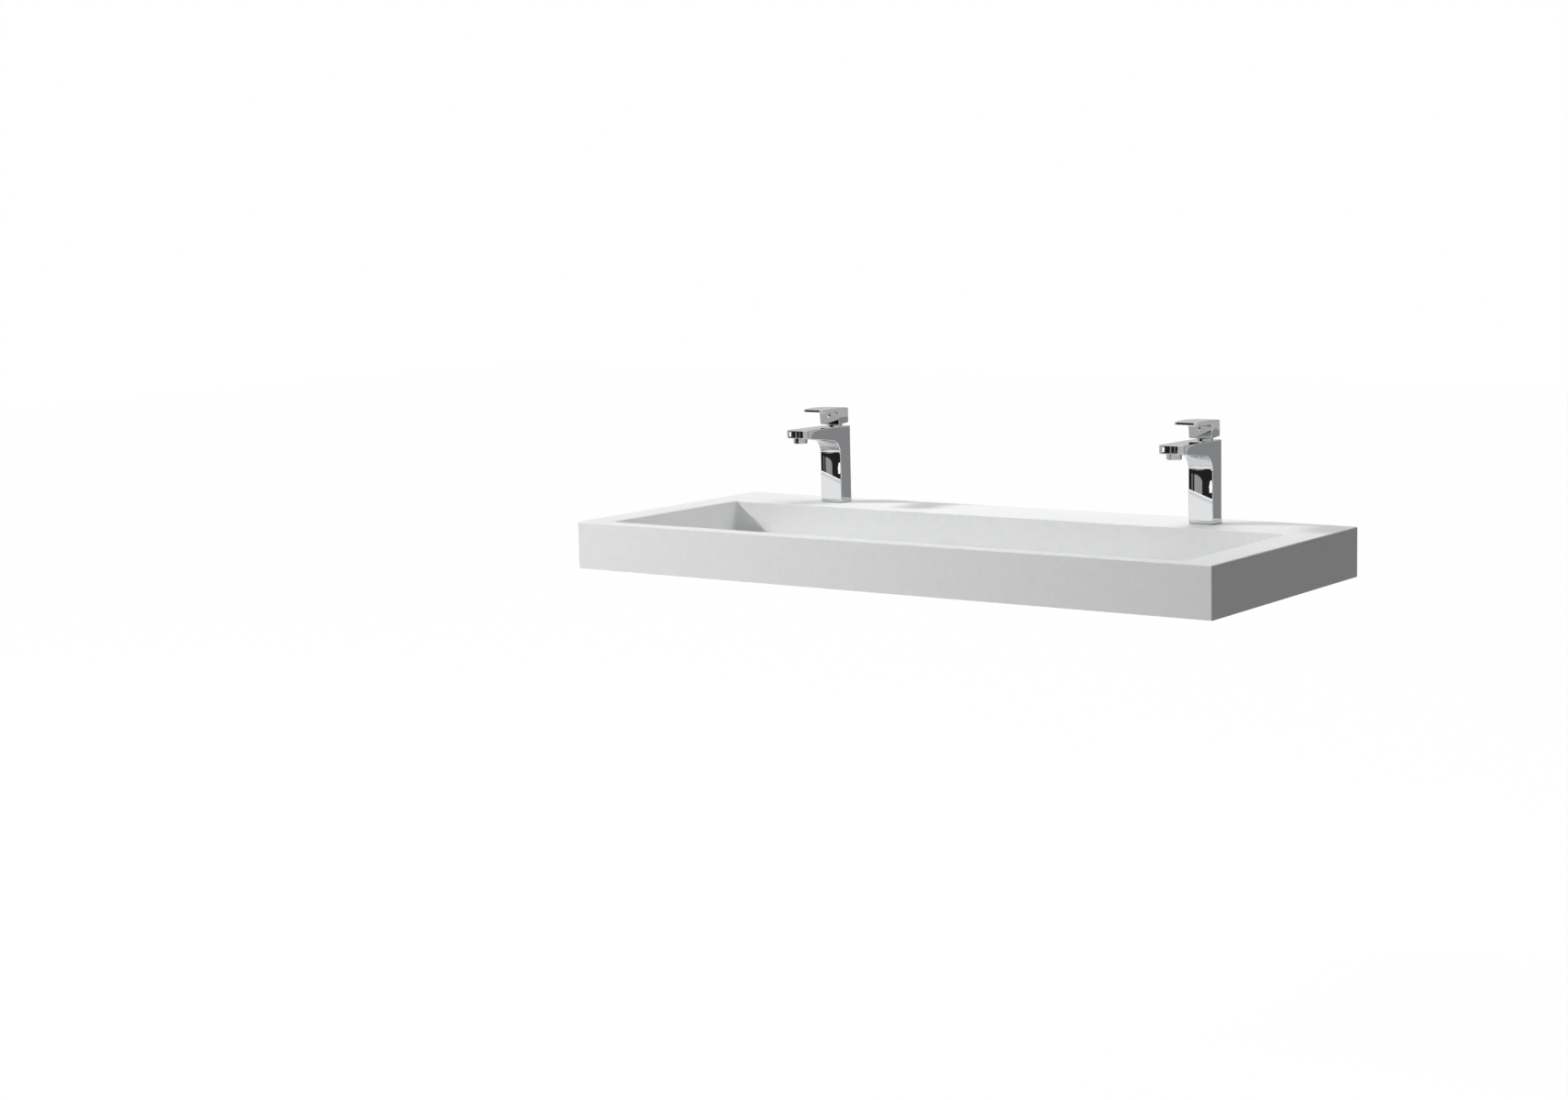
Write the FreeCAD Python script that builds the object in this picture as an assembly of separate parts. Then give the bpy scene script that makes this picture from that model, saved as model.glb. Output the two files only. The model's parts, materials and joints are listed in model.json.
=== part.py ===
import FreeCAD, Part
import math
import os

# Wall-hung trough basin for two taps: one hollow mineral casting, two single-lever
# mixers with ceramic-disc cartridges, and a push-to-close waste in the bowl floor.
# Millimetres. The origin is the middle of the wall-bolt row on the back face,
# X points right, the front faces -Y and Z points up.

V = FreeCAD.Vector
UP = V(0, 0, 1)
TO_FRONT = V(0, -1, 0)
TO_BACK = V(0, 1, 0)
TO_RIGHT = V(1, 0, 0)
overrun = 1.0                  # how far a cutting tool runs past the face that it opens
touch = 0.01                   # how near to a plane counts as on it

# Basin casting
basin_width = 1200.0
basin_depth = 500.0
side_rim = 60.0
front_rim = 27.0
back_deck = 131.0              # deck behind the bowl, which carries the taps
bowl_depth = 58.0              # at the bowl's walls
floor_fall = 6.0               # how much lower the floor is at the waste
bowl_corner_radius = 6.0
bowl_floor_radius = 5.0
rim_edge_radius = 2.5
deck_thickness = 14.0
apron_wall = 13.0
apron_lap = 5.0                # apron below the underside of the bowl floor
bowl_wall = 12.0
floor_thickness = 11.0
cast_radius = 6.0
bolt_drop = 45.0               # wall bolts below the rim
bolt_hole_radius = 7.0
bolt_spacings = {"outer": 1000.0, "inner": 400.0}
bolt_boss_radius = 17.0
bolt_boss_height = 7.0

# Waste
waste_thread_radius = 20.95    # one and a quarter inch pipe thread
waste_bore_radius = 18.0
waste_hole_clearance = 2.0
waste_flange_radius = 32.0
waste_flange_thickness = 3.0
waste_flange_gap = 1.0         # round the flange in its recess
waste_flange_recess = 2.5
waste_flange_chamfer = 0.7
waste_pad_margin = 11.0        # flat floor outside the flange recess
waste_tail = 46.0              # below the bowl floor
waste_tail_thread = 19.0       # free end that takes the trap's nut
waste_groove_width = 2.0
waste_groove_depth = 0.6
flange_seal_thickness = 1.0
flange_seal_inset = 1.5
plug_shelf_radius = 23.0
plug_shelf_depth = 1.5
floor_gasket_radius = 30.0
floor_gasket_thickness = 4.0
slip_washer_radius = 29.0
slip_washer_thickness = 1.5
back_nut_flats = 52.0
back_nut_height = 8.0
thread_gap = 0.1               # between a thread and what is screwed on it
bridge_hub_radius = 7.0
bridge_thickness = 5.0
bridge_spoke_width = 3.0
bridge_spokes = 4
click_barrel_radius = 6.0
click_barrel_length = 22.0
click_barrel_chamfer = 1.0
click_thread_radius = 4.0
click_bore_depth = 17.0
plug_radius = 29.0
plug_edge = 2.0
plug_crown = 3.5
plug_neck_radius = 15.0
plug_neck_length = 4.0
plug_stem_radius = 3.0
plug_stem_engaged = 14.0
plug_barrel_gap = 1.0
plug_running_gap = 0.05
plug_seal_radius = 21.5
plug_seal_thickness = 1.6
plug_seat_gap = 0.1

# Tap body
tap_spacing = 730.0
tap_hole_radius = 14.5         # hidden by the gasket on every side
column_width = 44.0
column_depth = 32.0
body_top = 136.0               # above the deck
spout_reach = 104.5            # from the column's front to the tip
spout_rise = 1.0
spout_tip_thickness = 13.8
spout_taper = 7.2              # degrees that the underside rises towards the tip
throat_radius = 26.0
tip_corner_radius = 9.0
column_edge_radius = 3.0
body_edge_radius = 1.2
base_ring_height = 5.0
base_ring_proud = 0.6
base_hole_radius = 14.0
gasket_thickness = 1.5
gasket_inset = 1.0
inlet_offset = 7.0             # each side of the middle
inlet_forward = 3.0
inlet_bore_radius = 2.8
inlet_thread_radius = 4.6
inlet_thread_depth = 14.0
waterway_radius = 3.5
waterway_drop = 18.5           # waterway below the body's top at the cartridge
waterway_rise = 11.3

# Aerator
aerator_radius = 12.3
aerator_setback = 15.0         # centre behind the tip
aerator_boss_drop = 19.0       # boss end below the spout's top at the tip
aerator_show = 4.6             # collar below the boss
aerator_thread_radius = 10.8
aerator_thread_length = 8.0
aerator_wall = 1.4
aerator_washer_thickness = 1.5
aerator_hole_radius = 0.7
aerator_ring_counts = (5, 11)
aerator_ring_shares = (0.35, 0.7)   # of the insert's radius
aerator_insert_recess = 0.8
aerator_insert_height = 5.0

# Deck fixing under each tap
stud_radius = 4.0
stud_back = 9.0                # behind the tap hole's middle
stud_in_body = 12.0
stud_length = 66.0
clamp_radius = 24.0
clamp_slot_half = 14.0
clamp_slot_back = 2.5
rubber_washer_thickness = 3.0
clamp_plate_thickness = 2.5
fixing_nut_flats = 13.0
fixing_nut_height = 8.0

# Cartridge
chamber_radius = 13.2
chamber_depth = 38.0
seal_height = 1.0
seal_wire = 1.0
housing_radius = 12.5
housing_height = 29.0
housing_floor = 4.0
housing_window_half = 4.0
housing_window_height = 8.0
rotor_radius = 10.8
running_gap = 0.1
disc_thickness = 3.5
fixed_disc_gap = 0.2
moving_disc_radius = 7.0
disc_face_gap = 0.05
moving_gap = 0.3               # between pieces that pass each other
coupler_half = 6.0
coupler_socket_gap = 0.7       # round the stem's finger, which tilts in the socket
coupler_height = 4.0
pivot_drop = 15.0              # lever pivot below the body's top
pivot_pin_radius = 1.5
pivot_pin_length = 19.0
pivot_gap = 0.05
stem_width = 6.0
stem_finger_radius = 2.4
stem_arm = 8.0                 # pivot to the middle of the ball end
stem_top = 22.5                # above the body's top
rotor_slot_half = 6.6
cartridge_nut_height = 4.5
cartridge_nut_bore = 9.2
neck_wall = 1.7
neck_show = 2.3

# Lever
lever_width = 41.0
lever_overhang = 2.0           # block ahead of the column's front
lever_block_depth = 31.5
lever_gap = 3.2
lever_height = 28.8            # from the block's front foot to its top
lever_front_set = 1.2          # block's front foot behind its brow
lever_crown = 1.5              # bow of the lever's top
heel_rise = 3.0
heel_radius = 4.5
lever_reach = 83.0             # from the column's front to the tip
lever_tip_rise = 2.5
lever_tip_thickness = 4.6
lever_root_thickness = 8.0
lever_tip_width = 14.0
lever_tip_radius = 5.5
lever_edge_radius = 2.4
lever_corner_radius = 3.0
lever_throat_radius = 4.0      # between the block's front and the lever's underside
lever_wall = 3.0
lever_boss_wall = 3.4
lever_roof = 8.0
stem_fit = 0.05
grub_radius = 2.5
grub_length = 9.0
grub_below_root = 5.8          # grub screw below the lever's root
button_radius = 4.4
button_seat = 2.0
button_crown = 1.0
button_gap = 0.1

# Places that several pieces share
rim_z = bolt_drop
bowl_half = basin_width / 2 - side_rim
bowl_back = -back_deck
bowl_front = front_rim - basin_depth
floor_z = rim_z - bowl_depth - floor_fall
floor_under_z = floor_z - floor_thickness
bottom_z = floor_under_z - apron_lap
waste_y = (bowl_back + bowl_front) / 2
waste_hole_radius = waste_thread_radius + waste_hole_clearance
recess_radius = waste_flange_radius + waste_flange_gap
tap_y = -back_deck / 2
tap_places = {"left": -tap_spacing / 2, "right": tap_spacing / 2}


def box(x0, x1, y0, y1, z0, z1):
    return Part.makeBox(x1 - x0, y1 - y0, z1 - z0, V(x0, y0, z0))


def rod(radius, z0, z1, x=0, y=0):
    return Part.makeCylinder(radius, z1 - z0, V(x, y, z0), UP)


def rod_along(axis, radius, length, x, y, z):
    return Part.makeCylinder(radius, length, V(x, y, z), axis)


def hole(radius, z0, z1, x=0, y=0):
    """Cutter for an upright hole, which runs past both its ends."""
    return rod(radius, z0 - overrun, z1 + overrun, x, y)


def ring(outer, inner, z0, z1, x=0, y=0):
    return rod(outer, z0, z1, x, y).cut(hole(inner, z0, z1, x, y))


def prism(points, z0, z1):
    """Upright solid over a closed outline of (x, y) points."""
    outline = [V(x, y, z0) for x, y in points]
    return Part.Face(Part.makePolygon(outline + outline[:1])).extrude(V(0, 0, z1 - z0))


def hexagon(flats, z0, z1):
    corner = flats / math.sqrt(3)
    angles = [math.radians(60 * side) for side in range(6)]
    return prism([(corner * math.cos(a), corner * math.sin(a)) for a in angles], z0, z1)


def upright_edges(shape):
    return [e for e in shape.Edges if abs(e.tangentAt(e.FirstParameter).z) > 0.99]


def edges_near_z(shape, z):
    return [
        e for e in shape.Edges
        if abs(e.BoundBox.ZMin - z) < touch and abs(e.BoundBox.ZMax - z) < touch
    ]


def rounded_prism(points, z0, z1, radius):
    solid = prism(points, z0, z1)
    return solid.makeFillet(radius, upright_edges(solid))


def rectangle(x_half, y0, y1):
    return [(-x_half, y0), (x_half, y0), (x_half, y1), (-x_half, y1)]


# Basin casting: a rectangular block with a bowl sunk into it and hollowed from below
def bowl_space():
    top_z = rim_z + overrun
    wall_foot_z = rim_z - bowl_depth
    mouth = rectangle(bowl_half, bowl_front, bowl_back)
    space = rounded_prism(mouth, wall_foot_z, top_z, bowl_corner_radius)
    space = space.makeFillet(bowl_floor_radius, edges_near_z(space, wall_foot_z))
    pad = recess_radius + waste_pad_margin
    inset = bowl_corner_radius
    outer = rectangle(bowl_half - inset, bowl_front + inset, bowl_back - inset)
    inner = rectangle(pad, waste_y - pad, waste_y + pad)
    outlines = []
    for points, z in ((outer, wall_foot_z), (inner, floor_z)):
        corners = [V(x, y, z) for x, y in points]
        outlines.append(Part.makePolygon(corners + corners[:1]))
    return space.fuse(Part.makeLoft(outlines, True, True))


def basin_casting():
    half = basin_width / 2
    block = box(-half, half, -basin_depth, 0, bottom_z, rim_z)
    block = block.makeFillet(rim_edge_radius, upright_edges(block) + edges_near_z(block, rim_z))
    block = block.cut(bowl_space())
    inner_rim = [
        e for e in edges_near_z(block, rim_z)
        if e.BoundBox.XMax < bowl_half + overrun and e.BoundBox.XMin > -bowl_half - overrun
        and e.BoundBox.YMax < bowl_back + overrun and e.BoundBox.YMin > bowl_front - overrun
    ]
    block = block.makeFillet(rim_edge_radius, inner_rim)
    channel_out = half - apron_wall
    channel_in = bowl_half + bowl_wall
    channel_mid = bowl_back + bowl_wall
    channel = [
        (-channel_out, -apron_wall), (-channel_out, bowl_front), (-channel_in, bowl_front),
        (-channel_in, channel_mid), (channel_in, channel_mid), (channel_in, bowl_front),
        (channel_out, bowl_front), (channel_out, -apron_wall),
    ]
    hollow = rounded_prism(channel, bottom_z - overrun, rim_z - deck_thickness, cast_radius)
    foot = rectangle(channel_out, bowl_front, -apron_wall)
    hollow = hollow.fuse(rounded_prism(foot, bottom_z - overrun, floor_under_z, cast_radius))
    block = block.cut(hollow)
    boss_length = apron_wall + bolt_boss_height
    for spacing in bolt_spacings.values():
        for x in (-spacing / 2, spacing / 2):
            boss = rod_along(TO_FRONT, bolt_boss_radius, boss_length, x, 0, 0)
            bolt_hole = rod_along(TO_FRONT, bolt_hole_radius, boss_length + 2 * overrun, x, overrun, 0)
            block = block.fuse(boss).cut(bolt_hole)
    for x in tap_places.values():
        block = block.cut(hole(tap_hole_radius, rim_z - deck_thickness, rim_z, x, tap_y))
    block = block.cut(rod(waste_hole_radius, floor_under_z - overrun, floor_z, 0, waste_y))
    recess = rod(recess_radius, floor_z - waste_flange_recess, floor_z + overrun, 0, waste_y)
    return block.cut(recess).removeSplitter()


# Waste: a flanged brass tube clamped to the bowl floor, with a push-to-close plug
def waste_pieces():
    """Pieces of the waste, with z measured from the bowl floor."""
    flange_under = flange_seal_thickness - waste_flange_recess
    flange_top = flange_under + waste_flange_thickness
    shelf_z = flange_top - plug_shelf_depth
    body = rod(waste_flange_radius, flange_under, flange_top)
    body = body.makeChamfer(waste_flange_chamfer, edges_near_z(body, flange_top))
    body = body.fuse(rod(waste_thread_radius, -waste_tail, flange_under))
    groove_z = waste_tail_thread - waste_tail
    groove_radius = waste_thread_radius - waste_groove_depth
    groove = ring(waste_flange_radius, groove_radius, groove_z, groove_z + waste_groove_width)
    body = body.cut(groove).cut(hole(waste_bore_radius, -waste_tail, flange_top))
    body = body.cut(rod(plug_shelf_radius, shelf_z, flange_top + overrun))
    plug_under = shelf_z + plug_seat_gap + plug_seal_thickness
    stem_foot = plug_under - plug_neck_length - plug_stem_engaged
    barrel_top = stem_foot + plug_stem_engaged - plug_barrel_gap
    barrel_foot = barrel_top - click_barrel_length
    bridge_foot = barrel_foot - bridge_thickness
    bridge = rod(bridge_hub_radius, bridge_foot, barrel_foot)
    for spoke in range(bridge_spokes):
        arm = box(0, waste_bore_radius + overrun, -bridge_spoke_width / 2, bridge_spoke_width / 2,
                  bridge_foot, barrel_foot)
        bridge = bridge.fuse(arm.rotated(V(0, 0, 0), UP, 360 * spoke / bridge_spokes))
    bridge = bridge.cut(hole(click_thread_radius, bridge_foot, barrel_foot))
    body = body.fuse(bridge).removeSplitter()

    barrel = rod(click_barrel_radius, barrel_foot, barrel_top)
    barrel = barrel.makeChamfer(click_barrel_chamfer, edges_near_z(barrel, barrel_top))
    barrel = barrel.fuse(rod(click_thread_radius - thread_gap, bridge_foot, barrel_foot))
    bore = plug_stem_radius + plug_running_gap
    barrel = barrel.cut(rod(bore, barrel_top - click_bore_depth, barrel_top + overrun))

    crown_z = plug_under + plug_edge + plug_crown
    ball_radius = (plug_radius ** 2 + plug_crown ** 2) / (2 * plug_crown)
    dome = Part.makeSphere(ball_radius, V(0, 0, crown_z - ball_radius))
    plug = rod(plug_radius, plug_under, crown_z).common(dome)
    plug = plug.fuse(rod(plug_neck_radius, plug_under - plug_neck_length, plug_under))
    plug = plug.fuse(rod(plug_stem_radius, stem_foot, plug_under)).removeSplitter()

    gasket_foot = floor_under_z - floor_z - floor_gasket_thickness
    slip_foot = gasket_foot - slip_washer_thickness
    on_thread = waste_thread_radius + thread_gap
    nut = hexagon(back_nut_flats, slip_foot - back_nut_height, slip_foot)
    nut = nut.cut(hole(on_thread, slip_foot - back_nut_height, slip_foot))
    return {
        "waste_body": body,
        "flange_seal": ring(waste_flange_radius - flange_seal_inset, waste_hole_radius + flange_seal_inset,
                            -waste_flange_recess, flange_under),
        "floor_gasket": ring(floor_gasket_radius, on_thread, gasket_foot, floor_under_z - floor_z),
        "slip_washer": ring(slip_washer_radius, on_thread, slip_foot, gasket_foot),
        "back_nut": nut,
        "click_mechanism": barrel,
        "waste_plug": plug,
        "plug_seal": ring(plug_seal_radius, plug_neck_radius, shelf_z + plug_seat_gap, plug_under),
    }


# Tap places, with z measured from the deck and y from the tap hole's middle
column_front = -column_depth / 2
column_back = column_depth / 2
body_foot = gasket_thickness + base_ring_height
tip_y = column_front - spout_reach
tip_top = body_top + spout_rise
chamber_floor = body_top - chamber_depth
housing_foot = chamber_floor + seal_height
housing_top = housing_foot + housing_height
disc_foot = housing_foot + housing_floor
moving_foot = disc_foot + disc_thickness + disc_face_gap
coupler_foot = moving_foot + disc_thickness
pivot_z = body_top - pivot_drop
ball_z = pivot_z - stem_arm
cavity_radius = rotor_radius + running_gap
nut_top = housing_top + cartridge_nut_height
aerator_y = tip_y + aerator_setback
aerator_foot = tip_top - aerator_boss_drop
aerator_roof = aerator_foot + aerator_thread_length + aerator_washer_thickness
stem_tip = body_top + stem_top


def side_profile(edges, width):
    """Solid between two planes across X, from edges drawn in the YZ plane."""
    face = Part.Face(Part.Wire(Part.__sortEdges__(edges)))
    return face.translated(V(-width / 2, 0, 0)).extrude(V(width, 0, 0))


def tap_body():
    lean = math.radians(spout_taper)
    tip_under = tip_top - spout_tip_thickness
    throat_y = column_front - throat_radius
    under_at_throat = tip_under - math.tan(lean) * (throat_y - tip_y)
    throat_z = under_at_throat - throat_radius / math.cos(lean)
    turn = (math.pi / 2 - lean) / 2
    arc_points = []
    for angle in (0, turn, 2 * turn):
        across = throat_radius * math.cos(angle)
        rise = throat_radius * math.sin(angle)
        arc_points.append(V(0, throat_y + across, throat_z + rise))
    throat = Part.Arc(*arc_points).toShape()
    rest = Part.makePolygon([
        arc_points[2], V(0, tip_y, tip_under), V(0, tip_y, tip_top), V(0, column_back, body_top),
        V(0, column_back, body_foot), V(0, column_front, body_foot), arc_points[0],
    ])
    body = side_profile([throat] + rest.Edges, column_width)
    tip_corners = [e for e in upright_edges(body) if e.BoundBox.YMax < tip_y + overrun]
    body = body.makeFillet(tip_corner_radius, tip_corners)
    back_corners = [e for e in upright_edges(body) if e.BoundBox.YMin > column_back - overrun]
    body = body.makeFillet(column_edge_radius, back_corners)
    top_edges = [
        e for e in body.Edges
        if e.BoundBox.ZMin > body_top - overrun
        and e.BoundBox.ZMax - e.BoundBox.ZMin < 2 * spout_rise + overrun
    ]
    side_edges = [
        e for e in body.Edges
        if abs(abs(e.CenterOfMass.x) - column_width / 2) < touch
        and e.BoundBox.YMax < column_front + touch and e.BoundBox.ZMax < tip_under + overrun
    ]
    body = body.makeFillet(body_edge_radius, top_edges + side_edges)
    body = body.fuse(rod(aerator_radius, aerator_foot, aerator_roof, 0, aerator_y))
    socket = aerator_thread_radius + thread_gap
    body = body.cut(rod(socket, aerator_foot - overrun, aerator_roof, 0, aerator_y))
    run = V(0, aerator_y, waterway_rise)
    body = body.cut(rod_along(run, waterway_radius, run.Length, 0, 0, body_top - waterway_drop))
    body = body.cut(rod(chamber_radius, chamber_floor, body_top + overrun))
    for x in (-inlet_offset, inlet_offset):
        body = body.cut(rod(inlet_bore_radius, body_foot, chamber_floor + overrun, x, -inlet_forward))
        tapped_top = body_foot + inlet_thread_depth
        body = body.cut(rod(inlet_thread_radius, body_foot - overrun, tapped_top, x, -inlet_forward))
    stud_hole = rod(stud_radius + thread_gap, body_foot - overrun, body_foot + stud_in_body, 0, stud_back)
    return body.cut(stud_hole).removeSplitter()


def base_pieces():
    """Plinth ring and gasket between the tap and the deck, and the clamp under the deck."""
    half_x = column_width / 2 + base_ring_proud
    half_y = column_depth / 2 + base_ring_proud
    plinth = rectangle(half_x, -half_y, half_y)
    foot = rounded_prism(plinth, gasket_thickness, body_foot, column_edge_radius)
    foot = foot.cut(hole(base_hole_radius, gasket_thickness, body_foot))
    pad = rectangle(half_x - gasket_inset, gasket_inset - half_y, half_y - gasket_inset)
    gasket = rounded_prism(pad, 0, gasket_thickness, column_edge_radius)
    gasket = gasket.cut(hole(base_hole_radius, 0, gasket_thickness))
    rubber_foot = -deck_thickness - rubber_washer_thickness
    plate_foot = rubber_foot - clamp_plate_thickness

    def horseshoe(z0, z1):
        slot = box(-clamp_slot_half, clamp_slot_half, -clamp_radius - overrun, clamp_slot_back,
                   z0 - overrun, z1 + overrun)
        plate = rod(clamp_radius, z0, z1).cut(slot)
        return plate.cut(hole(stud_radius + thread_gap, z0, z1, 0, stud_back))

    nut_foot = plate_foot - fixing_nut_height
    nut = hexagon(fixing_nut_flats, nut_foot, plate_foot).translated(V(0, stud_back, 0))
    nut = nut.cut(hole(stud_radius + thread_gap, nut_foot, plate_foot, 0, stud_back))
    stud_head = body_foot + stud_in_body
    return {
        "base_ring": foot,
        "base_gasket": gasket,
        "rubber_washer": horseshoe(rubber_foot, -deck_thickness),
        "clamp_plate": horseshoe(plate_foot, rubber_foot),
        "fixing_nut": nut,
        "fixing_stud": rod(stud_radius, stud_head - stud_length, stud_head, 0, stud_back),
    }


def aerator_pieces():
    """Screw-in collar with a drilled jet insert, sealed by a washer against the spout."""
    washer_foot = aerator_roof - aerator_washer_thickness
    collar_foot = aerator_foot - aerator_show
    bore = aerator_thread_radius - aerator_wall
    collar = rod(aerator_radius, collar_foot, aerator_foot)
    collar = collar.makeFillet(aerator_insert_recess, edges_near_z(collar, collar_foot))
    collar = collar.fuse(rod(aerator_thread_radius, aerator_foot, washer_foot))
    collar = collar.cut(hole(bore, collar_foot, washer_foot)).removeSplitter()
    insert_foot = collar_foot + aerator_insert_recess
    insert_top = insert_foot + aerator_insert_height
    insert = rod(bore, insert_foot, insert_top)
    for count, share in zip(aerator_ring_counts, aerator_ring_shares):
        radius = share * bore
        for jet in range(count):
            angle = 2 * math.pi * jet / count
            x, y = radius * math.cos(angle), radius * math.sin(angle)
            insert = insert.cut(hole(aerator_hole_radius, insert_foot, insert_top, x, y))
    washer = ring(aerator_thread_radius, bore, washer_foot, aerator_roof)
    pieces = {"aerator_collar": collar, "aerator_insert": insert, "aerator_washer": washer}
    return {name: shape.translated(V(0, aerator_y, 0)) for name, shape in pieces.items()}


def cartridge_pieces():
    """Ceramic-disc cartridge: housing, seals, discs, and the rotor that carries the stem's pivot."""
    ports = [(-inlet_offset, -inlet_forward), (inlet_offset, -inlet_forward)]
    housing = ring(housing_radius, cavity_radius, disc_foot, housing_top)
    housing = housing.fuse(rod(housing_radius, housing_foot, disc_foot))
    fixed_disc = rod(cavity_radius - fixed_disc_gap, disc_foot, disc_foot + disc_thickness)
    seals = []
    for x, y in ports:
        housing = housing.cut(hole(inlet_bore_radius, housing_foot, disc_foot, x, y))
        fixed_disc = fixed_disc.cut(hole(inlet_bore_radius, disc_foot, moving_foot, x, y))
        seal_radius = inlet_bore_radius + seal_wire
        seals.append(ring(seal_radius, inlet_bore_radius, chamber_floor, housing_foot, x, y))
    window_top = pivot_z
    window = box(-housing_window_half, housing_window_half, -housing_radius - overrun, 0,
                 window_top - housing_window_height, window_top)
    housing = housing.cut(window).removeSplitter()

    rail_foot = coupler_foot + moving_gap
    channel_top = coupler_foot + coupler_height + moving_gap
    rotor = rod(rotor_radius, rail_foot, housing_top - moving_gap)
    coupler_slot = coupler_half + moving_gap
    rotor = rotor.cut(box(-coupler_slot, coupler_slot, -housing_radius, housing_radius,
                          rail_foot - overrun, channel_top))
    slot_half = stem_width / 2 + moving_gap
    rotor = rotor.cut(box(-slot_half, slot_half, -rotor_slot_half, rotor_slot_half, rail_foot, housing_top))
    pin = rod_along(TO_RIGHT, pivot_pin_radius, pivot_pin_length, -pivot_pin_length / 2, 0, pivot_z)
    pin_hole = rod_along(TO_RIGHT, pivot_pin_radius, 2 * housing_radius, -housing_radius, 0, pivot_z)

    coupler = box(-coupler_half, coupler_half, -coupler_half, coupler_half,
                  coupler_foot, coupler_foot + coupler_height)
    socket = stem_finger_radius + coupler_socket_gap
    coupler = coupler.cut(box(-socket, socket, -socket, socket,
                              coupler_foot - overrun, coupler_foot + coupler_height + overrun))

    neck_radius = chamber_radius - thread_gap
    nut = ring(neck_radius, cartridge_nut_bore, housing_top, nut_top)
    neck = ring(neck_radius, neck_radius - neck_wall, nut_top, body_top + neck_show)
    return {
        "cartridge_housing": housing,
        "cartridge_seals": Part.makeCompound(seals),
        "fixed_disc": fixed_disc,
        "cartridge_nut": nut,
        "neck_ring": neck,
        "stem_rotor": rotor.cut(pin_hole),
        "pivot_pin": pin,
        "moving_disc": rod(moving_disc_radius, moving_foot, coupler_foot),
        "disc_coupler": coupler,
    }


def lever_pieces():
    """Hooded lever on the square stem, with its grub screw behind a round button."""
    front = column_front - lever_overhang
    front_foot = front + lever_front_set
    back = front + lever_block_depth
    foot_z = body_top + lever_gap
    heel_z = foot_z + heel_rise
    top_z = foot_z + lever_height
    reach_y = column_front - lever_reach
    tip_z = top_z + lever_tip_rise
    root_top = top_z + lever_tip_rise * (back - front) / (back - reach_y)
    root_under = root_top - lever_root_thickness
    crown = V(0, (back + reach_y) / 2, (top_z + tip_z) / 2 + lever_crown)
    top_line = Part.Arc(V(0, back, top_z), crown, V(0, reach_y, tip_z)).toShape()
    rest = Part.makePolygon([
        V(0, reach_y, tip_z), V(0, reach_y, tip_z - lever_tip_thickness), V(0, front, root_under),
        V(0, front_foot, foot_z), V(0, back, heel_z), V(0, back, top_z),
    ])
    lever = side_profile([top_line] + rest.Edges, lever_width)
    heel = [
        e for e in lever.Edges
        if e.BoundBox.YMin > back - overrun and e.BoundBox.ZMax < heel_z + overrun
    ]
    lever = lever.makeFillet(heel_radius, heel)
    throat = [
        e for e in lever.Edges
        if abs(e.BoundBox.YMax - front) < touch and abs(e.BoundBox.ZMax - root_under) < touch
        and e.BoundBox.ZMax - e.BoundBox.ZMin < touch
    ]
    lever = lever.makeFillet(lever_throat_radius, throat)
    half = lever_width / 2
    tip_half = lever_tip_width / 2
    plan = prism([(-half, back), (-half, front), (-tip_half, reach_y), (tip_half, reach_y), (half, front),
                  (half, back)], foot_z - overrun, tip_z + overrun)
    tip_edges = [e for e in upright_edges(plan) if e.BoundBox.YMax < reach_y + overrun]
    plan = plan.makeFillet(lever_tip_radius, tip_edges)
    back_edges = [e for e in upright_edges(plan) if e.BoundBox.YMin > back - overrun]
    plan = plan.makeFillet(lever_corner_radius, back_edges)
    lever = lever.common(plan).removeSplitter()
    rim = [e for e in lever.Edges if e.BoundBox.ZMin > top_z - touch]
    lever = lever.makeFillet(lever_edge_radius, rim)

    boss_half = stem_width / 2 + lever_boss_wall
    pocket = box(lever_wall - half, half - lever_wall, front_foot + lever_wall, back - lever_wall,
                 foot_z - overrun, root_top - lever_roof)
    pocket_front = box(-boss_half, boss_half, front, boss_half, foot_z + lever_wall, top_z)
    lever = lever.cut(pocket.cut(pocket_front))
    socket = stem_width / 2 + stem_fit
    lever = lever.cut(box(-socket, socket, -socket, socket, foot_z - overrun, stem_tip))
    screw_z = root_under - grub_below_root
    lever = lever.cut(rod_along(TO_BACK, grub_radius, -front, 0, front, screw_z))
    seat = button_radius + button_gap
    lever = lever.cut(rod_along(TO_BACK, seat, button_seat + overrun, 0, front - overrun, screw_z))

    grub_head = -stem_width / 2 - stem_fit - grub_length
    grub = rod_along(TO_BACK, grub_radius - stem_fit, grub_length, 0, grub_head, screw_z)
    ball_radius = (button_radius ** 2 + button_crown ** 2) / (2 * button_crown)
    button_front = front - button_crown
    button = rod_along(TO_BACK, button_radius, button_seat + button_crown, 0, button_front, screw_z)
    button = button.common(Part.makeSphere(ball_radius, V(0, button_front + ball_radius, screw_z)))

    stem_half = stem_width / 2
    stem = box(-stem_half, stem_half, -stem_half, stem_half, pivot_z - stem_half, stem_tip)
    stem = stem.fuse(rod(stem_finger_radius, ball_z, pivot_z))
    stem = stem.fuse(Part.makeSphere(stem_finger_radius, V(0, 0, ball_z)))
    eye = pivot_pin_radius + pivot_gap
    stem = stem.cut(rod_along(TO_RIGHT, eye, 2 * stem_width, -stem_width, 0, pivot_z))
    return {"lever": lever, "lever_stem": stem.removeSplitter(), "grub_screw": grub, "index_button": button}


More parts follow.
